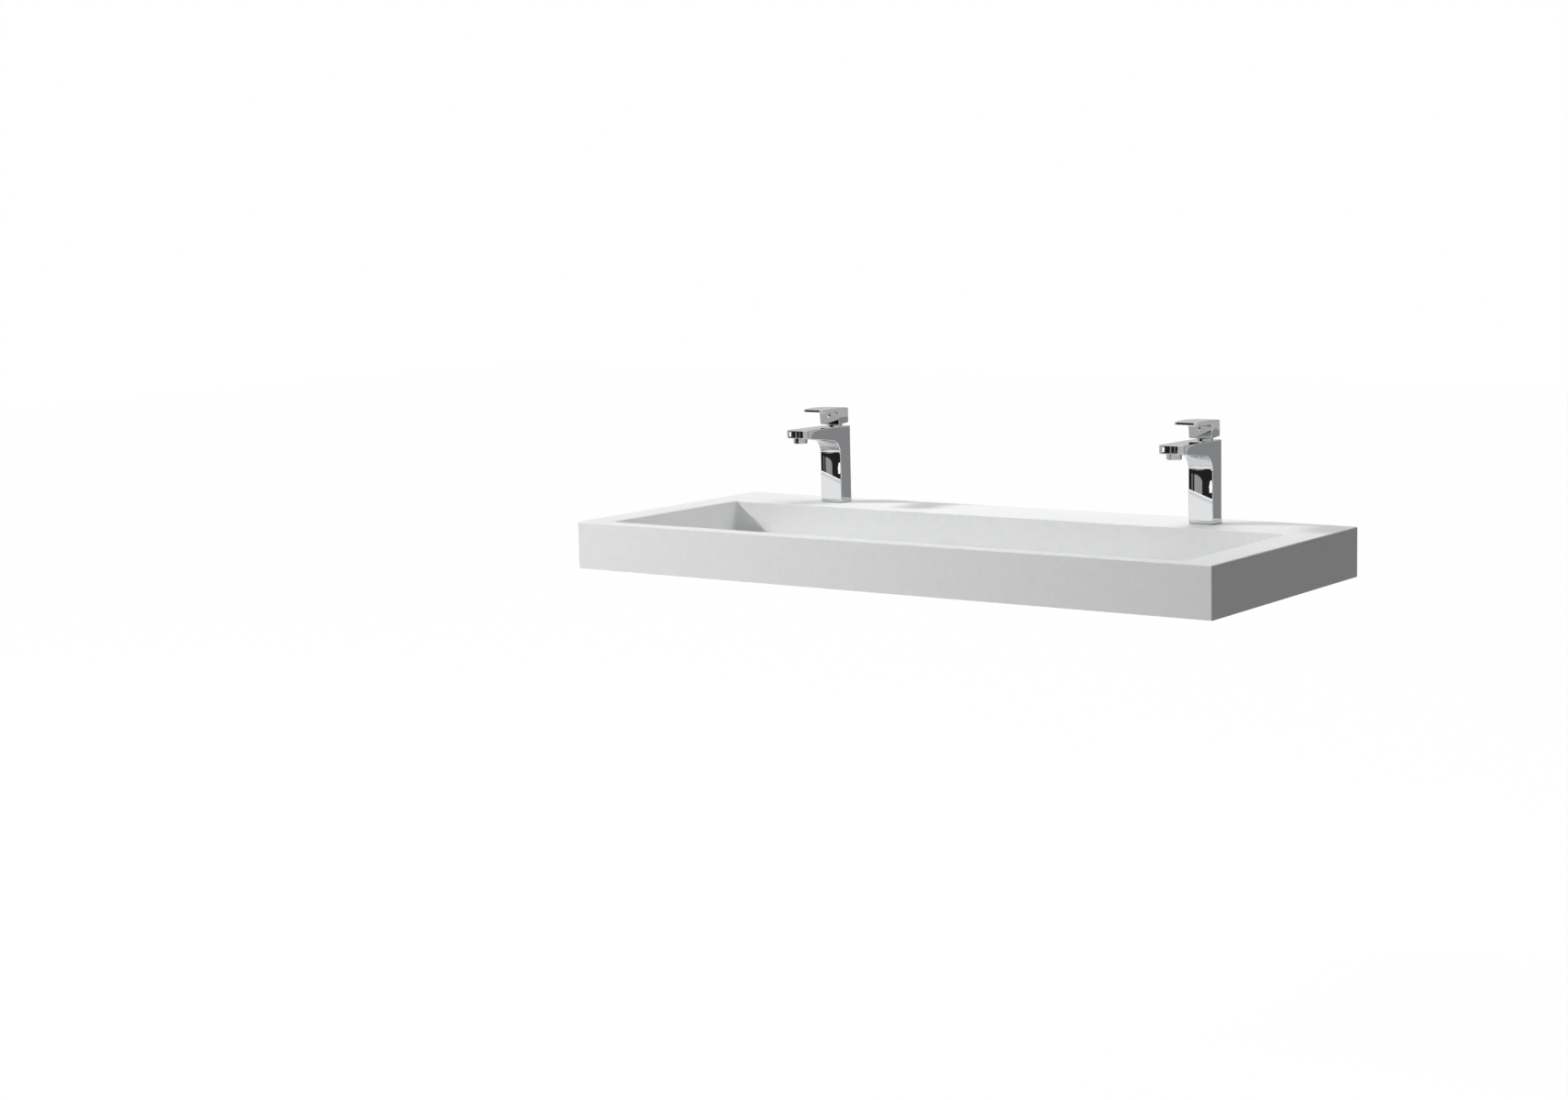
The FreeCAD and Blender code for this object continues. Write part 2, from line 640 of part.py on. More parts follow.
nodes = {"basin_casting": basin_casting()}
for name, shape in waste_pieces().items():
    nodes[name] = shape.translated(V(0, waste_y, floor_z))
tap = {"tap_body": tap_body()}
for maker in (base_pieces, aerator_pieces, cartridge_pieces, lever_pieces):
    tap.update(maker())
for side, x in tap_places.items():
    for name, shape in tap.items():
        nodes[side + "_" + name] = shape.translated(V(x, tap_y, rim_z))

os.makedirs("parts", exist_ok=True)
for name, shape in nodes.items():
    shape.exportStep("parts/" + name + ".step")
    print(name, shape.isValid(), len(shape.Solids), round(shape.Volume))
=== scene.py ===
import bmesh
import bpy
import json
import math
from mathutils import Matrix, Vector

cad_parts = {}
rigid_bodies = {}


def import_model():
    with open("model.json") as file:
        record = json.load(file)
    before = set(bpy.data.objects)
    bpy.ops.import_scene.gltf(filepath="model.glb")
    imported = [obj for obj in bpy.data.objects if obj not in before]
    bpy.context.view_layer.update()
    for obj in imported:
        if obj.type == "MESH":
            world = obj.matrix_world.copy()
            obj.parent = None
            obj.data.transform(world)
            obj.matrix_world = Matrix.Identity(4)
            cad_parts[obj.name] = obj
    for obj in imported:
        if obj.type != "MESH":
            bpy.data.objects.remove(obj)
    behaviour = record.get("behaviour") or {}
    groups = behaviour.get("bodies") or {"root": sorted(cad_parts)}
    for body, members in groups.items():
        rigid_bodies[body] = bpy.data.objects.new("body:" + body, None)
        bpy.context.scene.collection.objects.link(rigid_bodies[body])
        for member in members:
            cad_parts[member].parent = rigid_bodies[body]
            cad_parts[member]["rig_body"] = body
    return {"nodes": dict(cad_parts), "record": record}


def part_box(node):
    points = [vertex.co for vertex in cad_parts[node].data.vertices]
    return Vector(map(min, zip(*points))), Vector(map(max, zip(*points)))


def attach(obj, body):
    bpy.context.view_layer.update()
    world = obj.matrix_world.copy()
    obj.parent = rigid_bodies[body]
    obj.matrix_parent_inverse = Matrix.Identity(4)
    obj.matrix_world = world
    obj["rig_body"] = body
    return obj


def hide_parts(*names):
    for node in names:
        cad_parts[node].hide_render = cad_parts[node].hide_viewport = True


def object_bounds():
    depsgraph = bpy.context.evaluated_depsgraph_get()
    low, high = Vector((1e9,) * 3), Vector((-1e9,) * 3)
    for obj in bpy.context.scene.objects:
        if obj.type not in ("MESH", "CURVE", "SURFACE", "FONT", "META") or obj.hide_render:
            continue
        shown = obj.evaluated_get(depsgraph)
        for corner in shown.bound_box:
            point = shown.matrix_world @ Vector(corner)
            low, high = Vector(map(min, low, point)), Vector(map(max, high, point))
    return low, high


# Hand basin for two taps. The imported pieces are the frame, in metres, and each section
# below finishes one of them or one group of like ones, in the order of assembly.
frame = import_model()
cad_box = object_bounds()
nodes = frame["nodes"]

# Basin casting. One hollow block of matt white mineral composite, stone powder in resin.
# It is poured in a mould, rubbed down to a silk finish and bolted to the wall through
# the bosses in its back.
weld_distance = 1e-6
flat_angle = math.radians(0.5)
crease_angle = math.radians(38)
arris_segments = 2
tint_start = 0.3
tint_end = 0.7
cast_light = (0.905, 0.907, 0.909, 1)
cast_shade = (0.875, 0.878, 0.882, 1)
cast_blotch = 0.009
cast_blotch_detail = 6
cast_roughness_low = 0.52
cast_roughness_high = 0.64
cast_specular = 0.2
cast_rub_size = 0.035
cast_pore_size = 0.0009
cast_pore_depth = 0.00002


def finish(slot, colour, roughness, metallic=0.0):
    """A finish named for its slot in the record, with its plain values on the shader."""
    material = bpy.data.materials.new(slot + "_finish")
    material.use_nodes = True
    shader = material.node_tree.nodes["Principled BSDF"]
    shader.inputs["Base Color"].default_value = colour
    shader.inputs["Roughness"].default_value = roughness
    shader.inputs["Metallic"].default_value = metallic
    return material, shader


def cloud(material, size, detail=3.0, stretch=(1, 1, 1)):
    """Soft noise on the piece's own coordinates, with spots about as large as size."""
    tree = material.node_tree
    place = tree.nodes.new("ShaderNodeTexCoord")
    mapping = tree.nodes.new("ShaderNodeMapping")
    mapping.inputs["Scale"].default_value = stretch
    noise = tree.nodes.new("ShaderNodeTexNoise")
    noise.inputs["Scale"].default_value = 1 / size
    noise.inputs["Detail"].default_value = detail
    tree.links.new(place.outputs["Object"], mapping.inputs["Vector"])
    tree.links.new(mapping.outputs["Vector"], noise.inputs["Vector"])
    return noise.outputs["Fac"]


def tint(material, shader, pattern, low, high):
    """Colour that wanders between two shades with a pattern."""
    tree = material.node_tree
    ramp = tree.nodes.new("ShaderNodeValToRGB")
    ramp.color_ramp.elements[0].color = low
    ramp.color_ramp.elements[0].position = tint_start
    ramp.color_ramp.elements[1].color = high
    ramp.color_ramp.elements[1].position = tint_end
    tree.links.new(pattern, ramp.inputs["Fac"])
    tree.links.new(ramp.outputs["Color"], shader.inputs["Base Color"])


def rub(material, shader, pattern, low, high):
    """Roughness that wanders between two levels with a pattern."""
    tree = material.node_tree
    spread = tree.nodes.new("ShaderNodeMapRange")
    spread.inputs["To Min"].default_value = low
    spread.inputs["To Max"].default_value = high
    tree.links.new(pattern, spread.inputs["Value"])
    tree.links.new(spread.outputs["Result"], shader.inputs["Roughness"])


def emboss(material, shader, pattern, depth):
    """Relief as deep as depth, in metres, where the pattern is light."""
    tree = material.node_tree
    bump = tree.nodes.new("ShaderNodeBump")
    bump.inputs["Distance"].default_value = depth
    bump.inputs["Strength"].default_value = 1.0
    tree.links.new(pattern, bump.inputs["Height"])
    tree.links.new(bump.outputs["Normal"], shader.inputs["Normal"])


def shade(form):
    """Smooth over the rounds, crisp at the creases."""
    for face in form.faces:
        face.smooth = True
    for edge in form.edges:
        edge.smooth = edge.calc_face_angle(0) < crease_angle


def stand_for(node, name, form, material):
    """Makes a finished form the piece that stands for a packed one, on the same body."""
    mesh = bpy.data.meshes.new(name)
    form.to_mesh(mesh)
    form.free()
    if "custom_normal" in mesh.attributes:
        mesh.attributes.remove(mesh.attributes["custom_normal"])
    mesh.materials.clear()
    mesh.materials.append(material)
    piece = bpy.data.objects.new(name, mesh)
    bpy.context.scene.collection.objects.link(piece)
    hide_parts(node)
    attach(piece, nodes[node]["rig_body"])
    return piece


def smooth_copy(node, material, arris=0.0, below=math.inf, shortest=0.0, reform=None):
    """A welded copy of a piece that shades evenly, after an optional change to its form. An arris
    eases its sharp edges, or only those below a height and not under a shortest length."""
    form = bmesh.new()
    form.from_mesh(nodes[node].data)
    bmesh.ops.remove_doubles(form, verts=form.verts, dist=weld_distance)
    if reform:
        reform(form)
    bmesh.ops.dissolve_limit(form, angle_limit=flat_angle, verts=form.verts, edges=form.edges)
    shade(form)
    if arris:
        weight = form.edges.layers.float.new("bevel_weight_edge")
        for edge in form.edges:
            top = max(corner.co.z for corner in edge.verts)
            if not edge.smooth and top < below and edge.calc_length() > shortest:
                edge[weight] = 1
                edge.smooth = True
    piece = stand_for(node, node + "_finished", form, material)
    if arris:
        eased = piece.modifiers.new("eased_edges", "BEVEL")
        eased.limit_method = "WEIGHT"
        eased.width = arris
        eased.face_strength_mode = "FSTR_AFFECTED"
        eased.segments = arris_segments
        eased.use_clamp_overlap = False
        ends = piece.modifiers.new("welded_ends", "WELD")
        ends.merge_threshold = weld_distance
    even = piece.modifiers.new("even_shading", "WEIGHTED_NORMAL")
    even.keep_sharp = True
    even.use_face_influence = arris > 0
    return piece


mineral_cast, shader = finish("mineral_cast", cast_light, cast_roughness_low)
shader.inputs["Specular IOR Level"].default_value = cast_specular
blotches = cloud(mineral_cast, cast_blotch, cast_blotch_detail)
tint(mineral_cast, shader, blotches, cast_shade, cast_light)
rub(mineral_cast, shader, cloud(mineral_cast, cast_rub_size), cast_roughness_low, cast_roughness_high)
emboss(mineral_cast, shader, cloud(mineral_cast, cast_pore_size), cast_pore_depth)
smooth_copy("basin_casting", mineral_cast)

# Waste. A flanged brass tube, chromed where it shows, is clamped to the bowl floor by a
# brass nut over a slip washer and rubber gaskets. Its domed plug closes on a push.
chrome_colour = (0.660, 0.668, 0.680, 1)
chrome_haze_low = 0.02
chrome_haze_high = 0.04
chrome_haze_size = 0.02
chrome_wave_size = 0.03
chrome_wave_detail = 0
chrome_wave_depth = 0.00001
brass_light = (0.780, 0.560, 0.270, 1)
brass_dark = (0.560, 0.370, 0.150, 1)
brass_stain = 0.006
brass_stain_detail = 5
brass_roughness = 0.3
brass_roughness_low = 0.22
brass_roughness_high = 0.4
turning_detail = 2
turning_stretch = (1, 1, 8)
rubber_grey = (0.022, 0.022, 0.023, 1)
rubber_bloom = (0.050, 0.050, 0.052, 1)
rubber_roughness = 0.62
slip_white = (0.72, 0.72, 0.70, 1)
slip_shade = (0.62, 0.62, 0.60, 1)
slip_roughness = 0.45
moulding_grain = 0.002
moulding_detail = 4
moulding_depth = 0.00002
plug_arris = 0.0003
nut_arris = 0.0005
tail_pitch = 0.00231
tail_depth = 0.0012
tail_wall = 0.0018
tail_lead = 0.0004
on_crest = 0.0001
thread_steps = 40
thread_shares = (0.0, 0.42, 0.58)
mm = 0.001


def dress(node, material):
    """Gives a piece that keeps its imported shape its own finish."""
    for held in nodes[node].material_slots:
        held.material = material


def chrome(slot):
    """Bright plating: faint polishing haze, and the slight waves of a hand-polished casting."""
    material, shader = finish(slot, chrome_colour, chrome_haze_low, metallic=1.0)
    rub(material, shader, cloud(material, chrome_haze_size), chrome_haze_low, chrome_haze_high)
    emboss(material, shader, cloud(material, chrome_wave_size, chrome_wave_detail), chrome_wave_depth)
    return material


def moulding(slot, light, dark, roughness):
    """Injection-moulded plastic or rubber with a fine grain."""
    material, shader = finish(slot, light, roughness)
    tint(material, shader, cloud(material, moulding_grain, moulding_detail), dark, light)
    emboss(material, shader, cloud(material, moulding_grain), moulding_depth)
    return material


def cut_off(form, place, out):
    """Takes away what lies beyond a plane and gives the open edges that the cut leaves."""
    parts = form.verts[:] + form.edges[:] + form.faces[:]
    cut = bmesh.ops.bisect_plane(form, geom=parts, plane_co=place, plane_no=out, clear_outer=True)
    return [part for part in cut["geom_cut"] if isinstance(part, bmesh.types.BMEdge)]


def screw_thread(low, high, crest, depth, pitch, bore=0.0):
    """Helical thread about the Z axis, cut flat at both ends, and hollow where it has a bore."""
    form = bmesh.new()
    root = crest - depth
    rise = pitch / thread_steps
    start = low - pitch - rise / 2
    outline = [(share, crest if share else root) for share in thread_shares] + [(1.0, root)]
    points = [form.verts.new((radius, 0, start + share * pitch)) for share, radius in outline]
    lines = [form.edges.new(pair) for pair in zip(points, points[1:])]
    bmesh.ops.spin(
        form, geom=points + lines, axis=(0, 0, 1), dvec=(0, 0, rise),
        angle=2 * math.pi, steps=thread_steps)
    one_turn = form.verts[:] + form.edges[:] + form.faces[:]
    for turn in range(1, math.ceil((high - low) / pitch) + 2):
        copy = bmesh.ops.duplicate(form, geom=one_turn)
        corners = [part for part in copy["geom"] if isinstance(part, bmesh.types.BMVert)]
        bmesh.ops.translate(form, verts=corners, vec=(0, 0, turn * pitch))
    bmesh.ops.remove_doubles(form, verts=form.verts, dist=weld_distance)
    bores = []
    for height, out in ((low, -1), (high, 1)):
        rim = cut_off(form, (0, 0, height), (0, 0, out))
        if bore:
            circle = bmesh.ops.create_circle(
                form, segments=thread_steps, radius=bore, matrix=Matrix.Translation((0, 0, height)))
            inner = list(dict.fromkeys(edge for vertex in circle["verts"] for edge in vertex.link_edges))
            rim += inner
            bores += inner
        bmesh.ops.triangle_fill(form, edges=rim, use_beauty=True)
    if bore:
        bmesh.ops.bridge_loops(form, edges=bores)
    bmesh.ops.recalc_face_normals(form, faces=form.faces)
    shade(form)
    return form


waste_chrome = chrome("waste_chrome")
nut_brass, shader = finish("nut_brass", brass_light, brass_roughness, metallic=1.0)
stains = cloud(nut_brass, brass_stain, brass_stain_detail)
tint(nut_brass, shader, stains, brass_dark, brass_light)
turning = cloud(nut_brass, brass_stain, turning_detail, turning_stretch)
rub(nut_brass, shader, turning, brass_roughness_low, brass_roughness_high)
seal_rubber = moulding("seal_rubber", rubber_bloom, rubber_grey, rubber_roughness)
washer_plastic = moulding("washer_plastic", slip_white, slip_shade, slip_roughness)
waste_tube = smooth_copy("waste_body", waste_chrome)
tail = [mount for mount in frame["record"]["mounts"] if mount["name"] == "waste_tail"][0]
tail_crest = tail["dims"]["r_mm"] * mm
tail_place = Vector((tail["pos_m"][0], tail["pos_m"][1], 0))
tail_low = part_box("waste_body")[0].z + tail_lead
tail_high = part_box("flange_seal")[0].z
for vertex in waste_tube.data.vertices:
    out = vertex.co - tail_place
    out.z = 0
    if abs(out.length - tail_crest) < on_crest:
        vertex.co -= out.normalized() * tail_depth
thread = screw_thread(tail_low, tail_high, tail_crest, tail_depth, tail_pitch, tail_crest - tail_wall)
bmesh.ops.translate(thread, verts=thread.verts, vec=tail_place)
tail_thread = bpy.data.meshes.new("waste_tail_thread")
thread.to_mesh(tail_thread)
thread.free()
tail_thread.materials.append(nut_brass)
tail_sleeve = bpy.data.objects.new("waste_tail_thread", tail_thread)
bpy.context.scene.collection.objects.link(tail_sleeve)
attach(tail_sleeve, nodes["waste_body"]["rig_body"])
smooth_copy("waste_plug", waste_chrome, plug_arris)
smooth_copy("back_nut", nut_brass, nut_arris)
for node in ("flange_seal", "floor_gasket", "plug_seal"):
    dress(node, seal_rubber)
dress("slip_washer", washer_plastic)
dress("click_mechanism", washer_plastic)

# Taps. Each is a chromed brass casting, column and spout in one, on a plinth ring and a
# gasket, with a screwed-in aerator under the spout and a neck ring under the lever.
aerator_grey = (0.36, 0.37, 0.38, 1)
aerator_shade = (0.28, 0.29, 0.30, 1)
aerator_roughness = 0.4
silicone_pale = (0.55, 0.55, 0.55, 1)
silicone_shade = (0.48, 0.48, 0.48, 1)
silicone_roughness = 0.5
ring_arris = 0.0004
sides = ("left_", "right_")
tap_chrome = chrome("tap_chrome")
aerator_plastic = moulding("aerator_plastic", aerator_grey, aerator_shade, aerator_roughness)
pale_silicone = moulding("pale_silicone", silicone_pale, silicone_shade, silicone_roughness)
for side in sides:
    smooth_copy(side + "tap_body", tap_chrome)
    for node in ("base_ring", "aerator_collar", "neck_ring"):
        smooth_copy(side + node, tap_chrome, ring_arris)
    dress(side + "base_gasket", pale_silicone)
    dress(side + "aerator_washer", seal_rubber)
    dress(side + "aerator_insert", aerator_plastic)

# Levers. A hooded chromed casting sits on the cartridge's square stem, held by a grub screw
# behind a round button. Its flat handle is as wide as the block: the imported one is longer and
# tapers, so it is cut off ahead of the block and drawn out again, with rounded front corners.
front_face = Vector((0, -1, 0))
lever_arris = 0.0009
lever_brow = 0.0268
lever_long_edge = 0.005
block_depth = 0.0315
packed_tip_half = 0.007
handle_root = 0.0045
handle_reach = 0.051
handle_corner = 0.0055
handle_nose = 0.0008
handle_lift = 0.0019
handle_fall = 0.0026
handle_tip_thickness = 0.0046
handle_steps = 10
corner_degrees = (18, 36, 50, 60, 69, 77, 84, 90)
straight_end = handle_reach - handle_corner
straight_step = (straight_end - handle_root) / handle_steps
handle_sections = [(handle_root + straight_step * step, 0.0) for step in range(1, handle_steps + 1)]
for angle in map(math.radians, corner_degrees):
    inset = handle_corner * (1 - math.cos(angle))
    handle_sections.append((straight_end + handle_corner * math.sin(angle), inset))


def nose_round(ahead):
    """How far the handle's top and underside come in at a section, to round its front edge."""
    inside = max(0, 1 - (handle_reach - ahead) / handle_nose)
    return handle_nose * (1 - math.sqrt(1 - inside ** 2))


def full_width_handle(form):
    """Cuts the handle off ahead of the block and draws it out again as wide as the block."""
    across = [vertex.co.x for vertex in form.verts]
    lengths = [vertex.co.y for vertex in form.verts]
    middle = (min(across) + max(across)) / 2
    half = (max(across) - min(across)) / 2
    front = max(lengths) - block_depth
    packed_reach = front - min(lengths)
    for vertex in form.verts:
        ahead = front - vertex.co.y
        if ahead > 0:
            narrowed = half - (half - packed_tip_half) * ahead / packed_reach
            vertex.co.x = middle + (vertex.co.x - middle) * half / narrowed
    rim = cut_off(form, (0, front - handle_root, 0), front_face)
    heights = [corner.co.z for edge in rim for corner in edge.verts]
    root_under, root_top = min(heights), max(heights)
    tip_under = root_top + handle_lift - handle_fall - handle_tip_thickness
    end = bmesh.ops.edgeloop_fill(form, edges=rim)["faces"]
    last_ahead, last_wide, last_under, last_top = handle_root, half, root_under, root_top
    for ahead, inset in handle_sections:
        along = (ahead - handle_root) / (handle_reach - handle_root)
        wide = half - inset
        under = root_under + (tip_under - root_under) * along + nose_round(ahead)
        top = root_top + handle_lift * along - handle_fall * along ** 2 - nose_round(ahead)
        end = bmesh.ops.extrude_discrete_faces(form, faces=end)["faces"]
        back = Matrix.Translation((-middle, last_ahead - front, -last_under))
        size = Matrix.Diagonal((wide / last_wide, 1, (top - under) / (last_top - last_under), 1))
        onward = Matrix.Translation((middle, front - ahead, under))
        bmesh.ops.transform(form, matrix=onward @ size @ back, verts=end[0].verts)
        last_ahead, last_wide, last_under, last_top = ahead, wide, under, top
    bmesh.ops.recalc_face_normals(form, faces=form.faces)


for side in sides:
    brow_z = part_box(side + "lever")[0].z + lever_brow
    smooth_copy(
        side + "lever", tap_chrome, lever_arris, below=brow_z, shortest=lever_long_edge,
        reform=full_width_handle)
    smooth_copy(side + "index_button", tap_chrome)

# Cartridges. Each sealed valve has a plastic housing with two ceramic discs, a rotor with
# the stem's pivot pin, and a brass nut that holds it down in the tap body.
housing_light = (0.74, 0.73, 0.69, 1)
housing_shade = (0.66, 0.65, 0.61, 1)
housing_roughness = 0.38
ceramic_plain = (0.82, 0.81, 0.78, 1)
ceramic_shade = (0.74, 0.73, 0.70, 1)
ceramic_light = (0.86, 0.85, 0.82, 1)
ceramic_roughness = 0.12
ceramic_speck = 0.001
ceramic_speck_detail = 5
steel_plain = (0.58, 0.59, 0.60, 1)
steel_shade = (0.46, 0.47, 0.47, 1)
steel_light = (0.66, 0.66, 0.64, 1)
steel_roughness = 0.35
steel_roughness_low = 0.28
steel_roughness_high = 0.45
steel_spangle = 0.004
steel_spangle_detail = 6
steel_rub_size = 0.003
cartridge_plastic = moulding("cartridge_plastic", housing_light, housing_shade, housing_roughness)
disc_ceramic, shader = finish("disc_ceramic", ceramic_plain, ceramic_roughness)
specks = cloud(disc_ceramic, ceramic_speck, ceramic_speck_detail)
tint(disc_ceramic, shader, specks, ceramic_shade, ceramic_light)
clamp_steel, shader = finish("clamp_steel", steel_plain, steel_roughness, metallic=1.0)
spangles = cloud(clamp_steel, steel_spangle, steel_spangle_detail)
tint(clamp_steel, shader, spangles, steel_shade, steel_light)
rub(clamp_steel, shader, cloud(clamp_steel, steel_rub_size), steel_roughness_low, steel_roughness_high)
for side in sides:
    for node in ("cartridge_housing", "stem_rotor", "disc_coupler"):
        dress(side + node, cartridge_plastic)
    for node in ("fixed_disc", "moving_disc"):
        dress(side + node, disc_ceramic)
    for node in ("pivot_pin", "lever_stem", "grub_screw"):
        dress(side + node, clamp_steel)
    dress(side + "cartridge_nut", nut_brass)
    dress(side + "cartridge_seals", seal_rubber)

# Deck fixings. A threaded stud pulls a steel clamp plate and a rubber washer up against
# the underside of the deck.
plate_arris = 0.0003
stud_pitch = 0.00125
stud_depth = 0.00068
for side in sides:
    dress(side + "rubber_washer", seal_rubber)
    for node in ("clamp_plate", "fixing_nut"):
        smooth_copy(side + node, clamp_steel, plate_arris)
    low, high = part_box(side + "fixing_stud")
    thread = screw_thread(low.z, high.z, (high.x - low.x) / 2, stud_depth, stud_pitch)
    middle = (low + high) / 2
    bmesh.ops.translate(thread, verts=thread.verts, vec=(middle.x, middle.y, 0))
    stand_for(side + "fixing_stud", side + "fixing_stud_threaded", thread, clamp_steel)

# Studio floor and surround. A pale floor well below the wall-hung basin, and a white
# surround for what the camera and the bright metal see, with a dim level for the rest.
floor_drop = 0.75
floor_z = cad_box[0].z - floor_drop
floor_half = 14.0
floor_colour = (0.34, 0.34, 0.34, 1)
floor_roughness = 0.9
floor_glow_share = 0.94
floor_white = 1.05
surround_white = (1, 1, 1, 1)
surround_dim = (0.178, 0.180, 0.182, 1)


def seen_rays(tree):
    """1 for rays from the camera and for what metal and glass show, 0 for other rays."""
    path = tree.nodes.new("ShaderNodeLightPath")
    total = path.outputs["Is Camera Ray"]
    for ray in ("Is Glossy Ray", "Is Transmission Ray"):
        either = tree.nodes.new("ShaderNodeMath")
        either.operation = "MAXIMUM"
        tree.links.new(total, either.inputs[0])
        tree.links.new(path.outputs[ray], either.inputs[1])
        total = either.outputs["Value"]
    return total


world = bpy.data.worlds.new("studio_surround")
bpy.context.scene.world = world
world.use_nodes = True
tree = world.node_tree
surround = tree.nodes.new("ShaderNodeMix")
surround.data_type = "RGBA"
surround.inputs["A"].default_value = surround_dim
surround.inputs["B"].default_value = surround_white
tree.links.new(seen_rays(tree), surround.inputs["Factor"])
tree.links.new(surround.outputs["Result"], tree.nodes["Background"].inputs["Color"])

floor_material, shader = finish("studio_floor", floor_colour, floor_roughness)
tree = floor_material.node_tree
glow = tree.nodes.new("ShaderNodeEmission")
glow.inputs["Strength"].default_value = floor_white
share = tree.nodes.new("ShaderNodeMath")
share.operation = "MULTIPLY"
share.inputs[1].default_value = floor_glow_share
tree.links.new(seen_rays(tree), share.inputs[0])
pale = tree.nodes.new("ShaderNodeMixShader")
tree.links.new(share.outputs["Value"], pale.inputs["Fac"])
tree.links.new(shader.outputs["BSDF"], pale.inputs[1])
tree.links.new(glow.outputs["Emission"], pale.inputs[2])
clear = tree.nodes.new("ShaderNodeBsdfTransparent")
side_of = tree.nodes.new("ShaderNodeNewGeometry")
one_way = tree.nodes.new("ShaderNodeMixShader")
tree.links.new(side_of.outputs["Backfacing"], one_way.inputs["Fac"])
tree.links.new(pale.outputs["Shader"], one_way.inputs[1])
tree.links.new(clear.outputs["BSDF"], one_way.inputs[2])
tree.links.new(one_way.outputs["Shader"], tree.nodes["Material Output"].inputs["Surface"])
form = bmesh.new()
bmesh.ops.create_grid(form, x_segments=1, y_segments=1, size=floor_half)
bmesh.ops.translate(form, verts=form.verts, vec=(0, 0, floor_z))
floor_mesh = bpy.data.meshes.new("studio_floor")
form.to_mesh(floor_mesh)
form.free()
floor_mesh.materials.append(floor_material)
floor = bpy.data.objects.new("studio_floor", floor_mesh)
bpy.context.scene.collection.objects.link(floor)

# Camera at the photograph's place, from the front right and a little above the rim. Its lens
# and place come from the basin's corners in the photograph.
lens = 59.73
sensor_width = 36.0
camera_place = Vector((2.30436, -3.82838, 0.57061))
camera_azimuth = math.radians(36.5456)
camera_pitch = math.radians(7.5397)
camera_roll = math.radians(-1.3458)
camera_data = bpy.data.cameras.new("camera")
camera_data.lens = lens
camera_data.sensor_width = sensor_width
camera_data.sensor_fit = "HORIZONTAL"
camera = bpy.data.objects.new("camera", camera_data)
bpy.context.scene.collection.objects.link(camera)
camera.matrix_world = (
    Matrix.Translation(camera_place)
    @ Matrix.Rotation(camera_azimuth, 4, "Z")
    @ Matrix.Rotation(math.pi / 2 - camera_pitch, 4, "X")
    @ Matrix.Rotation(camera_roll, 4, "Z")
)
bpy.context.scene.camera = camera
bpy.context.scene.view_settings.view_transform = "Standard"

# Studio cards. White, grey and black glowing boards that only the bright metal shows: large ones
# round the set, as a photographer sets them, and small ones close in front of each tap, where the
# camera's rays go on from its flat faces. The small ones paint reflections on the chrome: painted
# highlight bars, painted dark and grey patches and a painted reflection of the basin's front rim.
block_lean = math.radians(3.2)
block_face = Vector((0, -math.cos(block_lean), -math.sin(block_lean)))
right_face = Vector((1, 0, 0))
near_gap = 0.17
layer_gap = 0.003
board_white = (1, 1, 1, 1)


def board(name, corners, level):
    """A flat board that glows evenly at a level, seen only in reflections."""
    material = bpy.data.materials.new(name)
    material.use_nodes = True
    tree = material.node_tree
    tree.nodes.remove(tree.nodes["Principled BSDF"])
    glow = tree.nodes.new("ShaderNodeEmission")
    glow.inputs["Color"].default_value = board_white
    glow.inputs["Strength"].default_value = level
    tree.links.new(glow.outputs["Emission"], tree.nodes["Material Output"].inputs["Surface"])
    form = bmesh.new()
    form.faces.new([form.verts.new(corner) for corner in corners])
    mesh = bpy.data.meshes.new(name)
    form.to_mesh(mesh)
    form.free()
    mesh.materials.append(material)
    piece = bpy.data.objects.new(name, mesh)
    bpy.context.scene.collection.objects.link(piece)
    piece.visible_camera = False
    piece.visible_diffuse = False
    piece.visible_shadow = False


def upright(name, middle, along, width, low, high, level):
    """A large upright board about a place on the floor plan."""
    half = Vector(along).normalized() * width / 2
    start = Vector(middle) - half
    end = Vector(middle) + half
    board(name, [(*start, low), (*end, low), (*end, high), (*start, high)], level)


def mirrored(point, face, gap):
    """Where the camera's ray to a point of a flat face goes on to, a gap in front of that face."""
    ray = (point - camera_place).normalized()
    onto = ray.dot(face)
    return point + (ray - 2 * onto * face) * (gap / -onto)


flat_height = 3.2
flat_level = 0.62
card_line = (0.885, -0.456)
# Each upright has its middle, direction and width on the plan, its foot, its top and its level.
uprights = {
    "grey_flat_back": ((0, 4.5), (1, 0), 9.5, floor_z, flat_height, flat_level),
    "grey_flat_front": ((0, -5.5), (1, 0), 9.5, floor_z, flat_height, flat_level),
    "grey_flat_left": ((-4.5, -0.5), (0, 1), 10.5, floor_z, flat_height, flat_level),
    "grey_flat_right": ((4.5, -0.5), (0, 1), 10.5, floor_z, flat_height, flat_level),
    "black_card_front_left": ((-1.3, -2.4), card_line, 2.6, -0.10, 0.75, 0.012),
    "grey_card_back_right": ((1.6, 2.2), card_line, 3.4, -0.78, 0.8, 0.32),
}
for name, setting in uprights.items():
    upright(name, *setting)
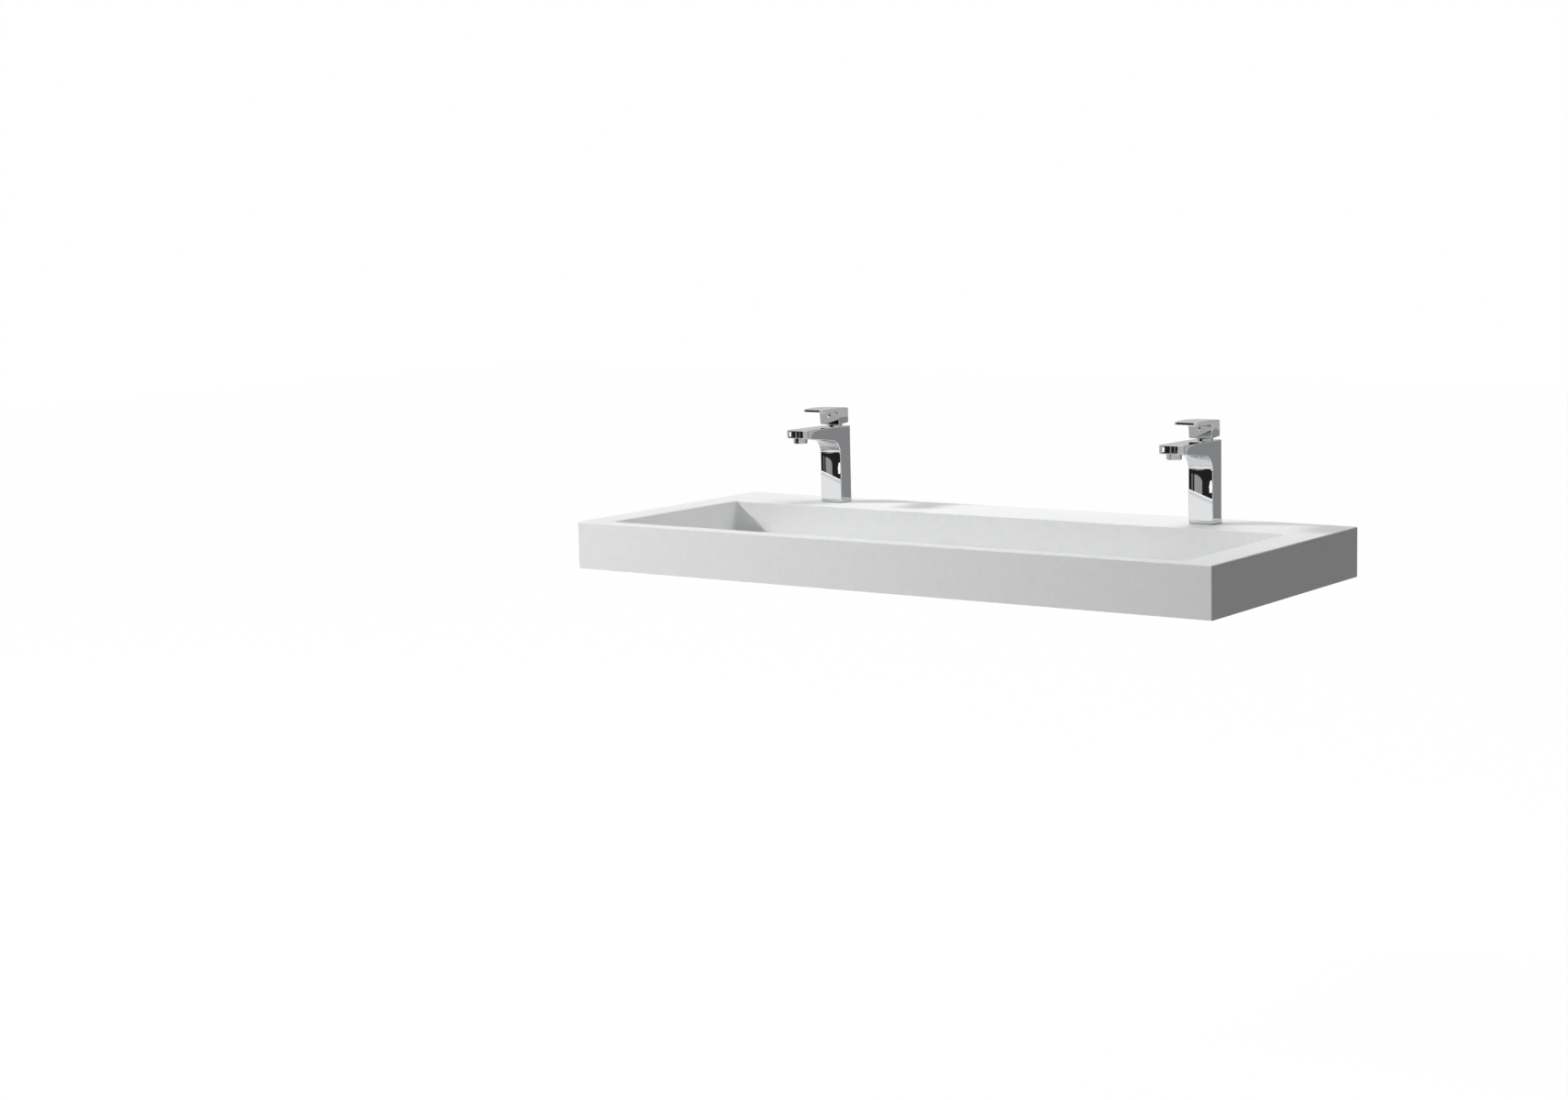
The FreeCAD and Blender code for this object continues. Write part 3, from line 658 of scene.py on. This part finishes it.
# Each near board paints one patch of reflection on a flat face of the tap: its glow level, then its
# corners where the painted reflection shows on the tap's face, in mm from the tap's axis and from the
# deck.
# Painted reflections on the column's front: a dark patch with a grey stripe and panel, a painted
# highlight bar, and a pale sheet with a band and a bright edge as a painted reflection of the basin's
# front rim.
column_painted_reflections = {
    "dark": (0.02, (-26, 30), (26, 30), (26, 92), (-26, 92)),
    "stripe": (0.25, (-16.5, 30), (-14.5, 30), (-14.5, 82), (-16.5, 82)),
    "panel": (0.42, (-11.4, 30), (2.4, 30), (2.4, 70), (0, 75), (-5, 79), (-11.4, 81)),
    "bar": (1.7, (16, 52), (20, 52), (20.5, 62), (20, 72), (17, 71), (15.4, 62)),
    "sheet": (1.12, (-26, 0), (26, 0), (26, 39), (-26, 57)),
    "sheet_band": (0.9, (-26, 51), (26, 31), (26, 39), (-26, 57)),
    "sheet_edge": (1.7, (-26, 56), (26, 38), (26, 39.6), (-26, 57.6)),
}
# Painted reflections on the spout's end: a dark patch with a painted highlight bar and two grey stripes.
tip_painted_reflections = {
    "tip_dark": (0.02, (-17, 116), (15, 116), (15, 142), (-17, 142)),
    "tip_bar": (1.7, (-15, 126), (-10, 126), (-10, 134.5), (-15, 134.5)),
    "tip_stripe": (0.3, (0, 122), (3, 122), (3, 136), (1, 136)),
    "tip_gleam": (0.2, (8, 122), (11, 122), (11, 136), (9, 136)),
}
# Painted grey reflection on the lever block's front, darker at its foot.
block_painted_reflections = {
    "block": (0.53, (-26, 134), (26, 134), (26, 168), (-26, 168)),
    "block_foot": (0.06, (-20, 134), (26, 134), (26, 145), (0, 140.5), (-20, 140)),
}
# Painted dark reflection on the handle's front edge.
handle_painted_reflections = {
    "handle": (0.02, (-13, 158), (20, 158), (20, 172), (-13, 172)),
}
# Painted grey reflection on the spout's side.
spout_painted_reflections = {
    "spout": (
        0.56, (-124, 108), (-108, 112), (-104, 127), (-96, 133), (-60, 138), (-60, 148), (-124, 148)),
}
# Painted grey reflection on the handle's side.
grip_painted_reflections = {
    "grip": (0.56, (-100, 152), (20, 152), (20, 180), (-100, 180)),
}
deck_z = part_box("basin_casting")[1].z
for side in sides:
    ring_low, ring_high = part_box(side + "base_ring")
    body_low, body_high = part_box(side + "tap_body")
    lever_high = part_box(side + "lever")[1]
    button_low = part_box(side + "index_button")[0]
    handle_front = lever_high.y - block_depth - handle_reach
    axis = Vector(((ring_low.x + ring_high.x) / 2, (ring_low.y + ring_high.y) / 2, deck_z))
    fronts = (
        (ring_low.y, front_face, column_painted_reflections), (body_low.y, front_face, tip_painted_reflections),
        (button_low.y, block_face, block_painted_reflections), (handle_front, front_face, handle_painted_reflections))
    for plane, face, boards in fronts:
        for layer, (name, (level, *corners)) in enumerate(boards.items()):
            on_face = [Vector((axis.x + x * mm, plane, axis.z + z * mm)) for x, z in corners]
            gap = near_gap - layer * layer_gap
            board(side + name, [mirrored(point, face, gap) for point in on_face], level)
    for plane, boards in ((body_high.x, spout_painted_reflections), (lever_high.x, grip_painted_reflections)):
        for name, (level, *corners) in boards.items():
            on_face = [Vector((plane, axis.y + y * mm, axis.z + z * mm)) for y, z in corners]
            board(side + name, [mirrored(point, right_face, near_gap) for point in on_face], level)

# Lamps. A small key lamp high on the front left draws crisp shadows. A softbox above and
# behind the deck fills the tops, and a low fill in front lightens the front apron.
key_aim = Vector((0.0, -0.25, 0.03))
key_travel = Vector((0.775, 0.349, -0.527)).normalized()
key_distance = 5.0
key_size = 0.45
key_power = 173
softbox_place = Vector((0.15, 0.25, 1.4))
softbox_aim = Vector((0.15, 0.25, 0))
softbox_size = 0.7
softbox_power = 10.6
fill_place = Vector((-1.1, -3.0, -0.4))
fill_aim = Vector((0, -0.25, 0))
fill_size = 0.6
fill_power = 21


def lamp(name, place, aim, size, power):
    """A square lamp turned to its aim, which the metal doesn't show."""
    light = bpy.data.lights.new(name, "AREA")
    light.shape = "SQUARE"
    light.size = size
    light.energy = power
    holder = bpy.data.objects.new(name, light)
    holder.visible_glossy = False
    bpy.context.scene.collection.objects.link(holder)
    turn = (aim - place).to_track_quat("-Z", "Y").to_matrix().to_4x4()
    holder.matrix_world = Matrix.Translation(place) @ turn


lamp("key_lamp", key_aim - key_distance * key_travel, key_aim, key_size, key_power)
lamp("top_softbox", softbox_place, softbox_aim, softbox_size, softbox_power)
lamp("low_fill", fill_place, fill_aim, fill_size, fill_power)
